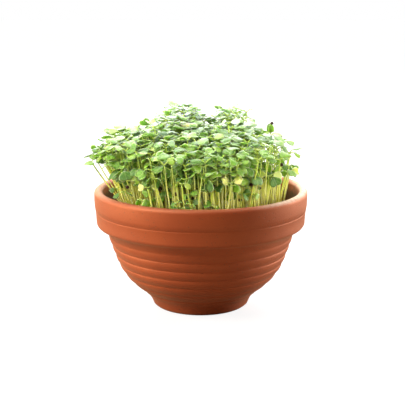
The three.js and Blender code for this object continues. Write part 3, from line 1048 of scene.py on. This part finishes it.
def seed_leaf(piece, start, turn, plant, length, tone, low, tip, loose):
    """One stalk and its blade, outwards from the top of a stem.

    Low is how much it hangs, tip is the matrix that tips it as a whole, and loose is how much of the
    usual scatter it takes: all of it, or less where it is listed one by one, or none where it is folded.
    """
    habit = FOLDED if plant.lift > FOLD_LIFT else OPEN
    lift = math.radians(plant.lift)
    outward = np.array([math.cos(turn), math.sin(turn), 0.0])
    up = np.array([0.0, 0.0, 1.0])
    stalk_lift = lift + math.radians(rng.uniform(*STALK_LIFT)) * loose
    rise = math.cos(stalk_lift) * outward + math.sin(stalk_lift) * up
    end = start + length * (STALK_LENGTH + rng.uniform(-STALK_SPREAD, STALK_SPREAD) * habit.strays) * rise
    size = length * (habit.size + rng.uniform(-BLADE_SPREAD, BLADE_SPREAD) * habit.strays)
    pitch = lift + math.radians(rng.gauss(lowered(PITCH, low), lowered(PITCH_SPREAD, low))) * loose
    roll = math.radians(rng.gauss(0, lowered(ROLL_SPREAD, low))) * loose
    along = math.cos(pitch) * outward + math.sin(pitch) * up
    level = np.cross(up, outward)
    normal = np.cross(along, level)
    across = math.cos(roll) * level + math.sin(roll) * normal
    normal = math.cos(roll) * normal - math.sin(roll) * level
    if habit is OPEN:
        along, across, normal = tip @ along, tip @ across, tip @ normal
    droop = rng.gauss(lowered(DROOP, low), DROOP_SPREAD) * loose
    hood = habit.hood + rng.gauss(0, HOOD_SPREAD) * habit.strays
    vee = habit.vee + rng.uniform(-VEE_SPREAD, VEE_SPREAD) * habit.strays
    ripple = rng.uniform(*RIPPLE) * habit.strays
    bend = Bend(droop, hood, ripple, rng.uniform(0, FULL_TURN), vee)
    base = end - along * size * BLADE_OVERLAP
    blade(piece, base, along, across, normal, size, tone, bend, habit.taper)
    knee = start + rise * length * STALK_KNEE + up * KNEE_RISE * MM
    rib = end + along * size * RIB_REACH - normal * RIB_DEPTH * MM
    path = bezier(start - up * STALK_BURY * MM, knee, end, rib, len(STALK_RADII))
    vertices, faces, _ = tube(path, np.array(STALK_RADII) * MM, STALK_SIDES)
    piece.add(vertices, faces, STEM_SLOT, {"tone": tone, "along": 1.0})


def bowed_stem(plant):
    """Points up a stem, in metres, with a slight bow of its own."""
    path = stem_path(plant, STEM_START - 1, STEM_STEPS) * MM
    way = rng.uniform(0, FULL_TURN)
    bow = np.sin(np.linspace(0, math.pi, STEM_STEPS)) * rng.uniform(*STEM_BOW) * MM
    path[:, :2] += np.stack(polar(bow, way), 1)
    return path


def seedling(piece, plant, look=None):
    """Adds one seedling to a piece. Its look is the tone of its leaves and how far they tip forward."""
    x, y, height = plant.top
    tip = smooth(math.hypot(x, y), EDGE_START, STAND_RADIUS) * rng.uniform(*EDGE_TIP)
    tone = rng.betavariate(*TONE_SHAPE)
    hinge = Vector((-y, x, 0))
    loose = 0.0 if plant.lift > FOLD_LIFT else 1.0
    if look:
        tone, tip = look
        hinge = Vector((1, 0, 0))
        loose *= PLACED_LOOSE
    path = bowed_stem(plant)
    width = rng.uniform(*STEM_WIDTH) * (PLACED_STEM if look else 1) * MM
    vertices, faces, along = tube(path, np.linspace(width, width * STEM_TAPER, STEM_STEPS), STEM_SIDES)
    piece.add(vertices, faces, STEM_SLOT, {"tone": rng.random(), "along": along})
    low = 0.0 if look else smooth(canopy_top(x, y) - height, *LOW_SPAN)
    tipped = np.array(Matrix.Rotation(math.radians(tip), 3, hinge))
    bigger = rng.uniform(0.0, UNEQUAL) * loose
    for side, grow in ((0, 1 + bigger), (math.pi, 1 - bigger)):
        turn = math.radians(plant.turn + rng.uniform(-TURN_SPREAD, TURN_SPREAD) * loose) + side
        seed_leaf(piece, path[-1], turn, plant, plant.leaf * grow * MM, tone, low, tipped, loose)


def filler_feet(taken, count):
    """Feet for the rest of the stand: each is the one of many tries that is farthest from the others."""
    feet = [np.array(foot) for foot in taken]
    thin_start, thin_full = THIN_SPAN
    for _ in range(count):
        nearest = RIM_START if rng.random() < RIM_SHARE else 0.0
        radii = [math.sqrt(rng.uniform(nearest**2, 1)) for _ in range(FOOT_TRIES)]
        angles = [rng.uniform(0, 2 * math.pi) for _ in range(FOOT_TRIES)]
        spots = FILL_MIDDLE + np.stack([radii * np.cos(angles), radii * np.sin(angles)], 1) * FILL_RADIUS
        room = np.linalg.norm(spots[:, None] - np.array(feet)[None], axis=2).min(axis=1)
        room -= THIN_GAP * np.clip((spots[:, 0] - thin_start) / (thin_full - thin_start), 0, 1)
        feet.append(spots[room.argmax()])
    return [Vector(foot) for foot in feet[len(taken) :]]


def filler(foot):
    """A seedling between the modelled ones: it grows to the canopy, or is a short late one."""
    share = math.hypot((foot.x - FILL_MIDDLE[0]) / FILL_RADIUS[0], foot.y / FILL_RADIUS[1])
    outward = foot.normalized()
    front = smooth(-foot.y, *FRONT_SPAN)
    most, less_right, less_front = FILL_LEAN
    lean = (most - less_right * outward.x - less_front * front) * share**5
    lean += rng.uniform(-FILL_LEAN_SPREAD, FILL_LEAN_SPREAD)
    short = rng.random() < SHORT_SHARE and abs(foot.x) < SHORT_WITHIN
    x = foot.x + outward.x * lean - rng.gauss(*FILL_DRIFT)
    y = foot.y + outward.y * lean + rng.uniform(-FILL_STRAY, FILL_STRAY)
    side = smooth(abs(foot.x), *SIDE_SPAN) * smooth(-foot.y, *SIDE_FRONT_SPAN)
    depth = rng.random() ** CANOPY_CROWD * lerp(CANOPY_DEPTH, max(front, side))
    lowest = rng.uniform(*FILL_LOWEST) + fall(-x, *LOWEST_LEFT)
    height = max(canopy_top(x, y) - depth, lowest) - (rng.uniform(*SHORT_DROP) if short else 0)
    length = rng.uniform(*FILL_LEAF) * (SHORT_LEAF if short else 1)
    turn = rng.uniform(-90, 90) * (1 - 0.5 * front) + rng.choice((0, 180))
    return Plant(tuple(foot), (x, y, height), length, turn, rng.uniform(*FILL_LIFT))


def roomiest_filler(foot, felt):
    """The one of several fillers whose leaves have the most room."""
    best, fewest = None, math.inf
    for _ in range(FILL_TRIES):
        plant = filler(foot)
        count = near(leaf_feelers(plant), felt.leaves)
        if count < fewest:
            best, fewest = plant, count
    felt.add_leaves(leaf_feelers(best))
    return best


def sector(foot):
    """The number of the group that a foot belongs to."""
    return int((math.atan2(foot[1], foot[0]) / (2 * math.pi) % 1) * FILL_GROUPS)


def stand(materials):
    """All the seedlings: the CAD model's one by one, and the others in groups."""
    tufts, felt = grow_tufts()
    looks = [look for _, look in STANDOUTS] + [None] * SPREAD_COUNT
    pieces = []
    for number, (tuft, look) in enumerate(zip(tufts, looks), 1):
        piece = Piece()
        for plant in tuft:
            seedling(piece, plant, look)
        pieces.append(piece.build(f"tatsoi_{number:02d}", materials))
        place(pieces[-1], "seedling", f"seedling_{number:02d}")
    groups = [Piece() for _ in range(FILL_GROUPS)]
    for measures, look in EXTRAS:
        plant = Plant(*measures)
        felt.add_leaves(leaf_feelers(plant))
        seedling(groups[sector(plant.foot)], plant, look)
    for foot in filler_feet([plant.foot for tuft in tufts for plant in tuft], FILL_COUNT):
        seedling(groups[sector(foot)], roomiest_filler(foot, felt))
    for number, piece in enumerate(groups, 1):
        pieces.append(piece.build(f"tatsoi_stand_{number}", materials))
        place(pieces[-1], "seedling")
    return pieces


# ---- seed coats and crumbs ----
def cup_profile():
    """The section of an open round shell of unit radius: from its pole to the mouth and back inside."""
    turns = [math.radians(HULL_MOUTH) * (row / HULL_ROWS) for row in range(1, HULL_ROWS + 1)]
    outside = [(math.sin(turn), -math.cos(turn)) for turn in turns]
    inside = [(HULL_WALL * math.sin(turn), -HULL_WALL * math.cos(turn)) for turn in reversed(turns)]
    return [(0, -1.0), *outside, *inside, (0, -HULL_WALL)]


def hull(piece, center, tilt, turn, size):
    """A split seed coat, a little squeezed."""
    shape = lathe(cup_profile(), HULL_SIDES)
    points = np.array(shape.points) * (1.0, HULL_SQUEEZE, 1.0) * size
    spin = Euler((math.radians(tilt), 0, math.radians(turn))).to_matrix()
    points = points @ np.array(spin).T + np.array(center)
    piece.add(points, shape.faces)


def seed_hulls(material, plants):
    """Split seed coats, each on the leaf or stem that is nearest to its place."""
    piece = Piece()
    perches = np.array([vertex.co for plant in plants for vertex in plant.data.vertices])
    for center in HULLS:
        center = np.array(center) * MM
        perch = perches[np.linalg.norm(perches - center, axis=1).argmin()]
        tilt = rng.uniform(*HULL_TILT)
        turn = rng.uniform(0, 360)
        size = rng.uniform(*HULL_SIZE) * MM
        away = center - perch
        away *= min(1.0, HULL_STANDOFF * size / np.linalg.norm(away))
        hull(piece, perch + away, tilt, turn, size)
    place(piece.build("seed_hulls", [material]), "seedling")


def crumb_shape():
    lump = bmesh.new()
    bmesh.ops.create_icosphere(lump, subdivisions=2, radius=1.0)
    points = np.array([vertex.co for vertex in lump.verts])
    faces = [tuple(vertex.index for vertex in face.verts) for face in lump.faces]
    lump.free()
    return points, faces


def soil_crumbs(material):
    """Loose lumps of potting mix among the stems' feet."""
    shape, faces = crumb_shape()
    piece = Piece()
    for _ in range(CRUMB_COUNT):
        radius = (MIX_RADIUS - CRUMB_EDGE) * math.sqrt(rng.random())
        angle = rng.uniform(0, 2 * math.pi)
        size = rng.uniform(*CRUMB_SIZE) * MM
        stretch = np.array([rng.uniform(*limits) for limits in CRUMB_STRETCH])
        waves = np.array([rng.uniform(2, 5) for _ in range(3)])
        knobs = 1 + CRUMB_KNOBS * np.sin(shape @ waves * 2)
        where = np.array([*polar(radius, angle), MIX_TOP - CRUMB_SINK + size * 0.5])
        piece.add(where + shape * stretch * knobs[:, None] * size, faces)
    place(piece.build("soil_crumbs", [material]), "potting_mix")


# ---- stage, light and camera ----
def stage():
    """A floor that the camera sees as pale and that other rays see as a dim warm grey."""
    bpy.ops.mesh.primitive_plane_add(size=FLOOR_SIZE, location=(0, 0, 0))
    floor = bpy.context.object
    floor.name = "floor"
    n = new_material("pale_floor")
    n.finish(
        Base_Color=(0.2, 0.2, 0.2, 1),
        Roughness=0.9,
        Emission_Color=(1, 1, 1, 1),
        Emission_Strength=FLOOR_GLOW,
    )
    pale = n.tree.nodes["Principled BSDF"].outputs[0]
    dim = n.add("ShaderNodeBsdfDiffuse", {"Color": (0.25, 0.21, 0.16, 1)}).outputs[0]
    seen = n.add("ShaderNodeLightPath").outputs["Is Camera Ray"]
    n.finish("Material Output", Surface=n.add("ShaderNodeMixShader", {0: seen, 1: dim, 2: pale}).outputs[0])
    floor.data.materials.append(n.owner)


def area_light(name, azimuth, elevation, size, power, color, receivers):
    """A square light that faces the object and, if it has receivers, lights only those."""
    turn = math.radians(azimuth)
    rise = math.radians(elevation)
    way = Vector((math.sin(turn) * math.cos(rise), -math.cos(turn) * math.cos(rise), math.sin(rise)))
    data = bpy.data.lights.new(name, "AREA")
    data.size = size
    data.energy = power
    data.color = color
    light = bpy.data.objects.new(name, data)
    light.location = way * LIGHT_DISTANCE + Vector(LIGHT_TARGET)
    light.rotation_euler = way.to_track_quat("Z", "Y").to_euler()
    if receivers:
        light.light_linking.receiver_collection = receivers
    bpy.context.scene.collection.objects.link(light)


def lit_apart(name, prefix):
    """The pieces whose names start alike, as a collection that lights can be kept to."""
    group = bpy.data.collections.new(name)
    for piece in bpy.data.objects:
        if piece.name.startswith(prefix):
            group.objects.link(piece)
    return group


def lights():
    groups = {name: lit_apart(name, prefix) for name, prefix in LIT_APART.items()}
    for *measures, group in LIGHTS:
        area_light(*measures, groups.get(group))


def studio_world():
    """White to the camera. What lights the object is white behind it, and darker and warmer in front."""
    n = Nodes(bpy.data.worlds.new("studio"))
    seen = n.add("ShaderNodeLightPath").outputs["Is Camera Ray"]
    back = n.split(n.add("ShaderNodeTexCoord").outputs["Generated"])["Y"]
    strength = n.math("MAXIMUM", n.span(back, -0.3, 0.8, 0.12, 1.0), seen)
    whiteness = n.math("MAXIMUM", n.span(back, -0.3, 0.5), seen)
    color = n.mix(whiteness, (1, 0.82, 0.6, 1), (1, 1, 1, 1))
    bpy.context.scene.world = n.finish("Background", Color=color, Strength=strength)
    bpy.context.scene.view_settings.view_transform = "Standard"


def camera():
    data = bpy.data.cameras.new("camera")
    data.lens = CAMERA_LENS
    data.sensor_width = CAMERA_SENSOR
    data.clip_start = 0.01
    shot = bpy.data.objects.new("camera", data)
    back = Vector((0, -math.cos(CAMERA_ELEVATION), math.sin(CAMERA_ELEVATION)))
    shot.location = Vector(CAMERA_TARGET) + CAMERA_DISTANCE * back
    shot.rotation_euler = (-back).to_track_quat("-Z", "Y").to_euler()
    bpy.context.scene.collection.objects.link(shot)
    bpy.context.scene.camera = shot


camera()
stage()
studio_world()
pot(terracotta_material())
mix = mix_material()
potting_mix(mix)
soil_crumbs(mix)
seedlings = stand([stem_material(), leaf_material()])
seed_hulls(hull_material(), seedlings)
lights()
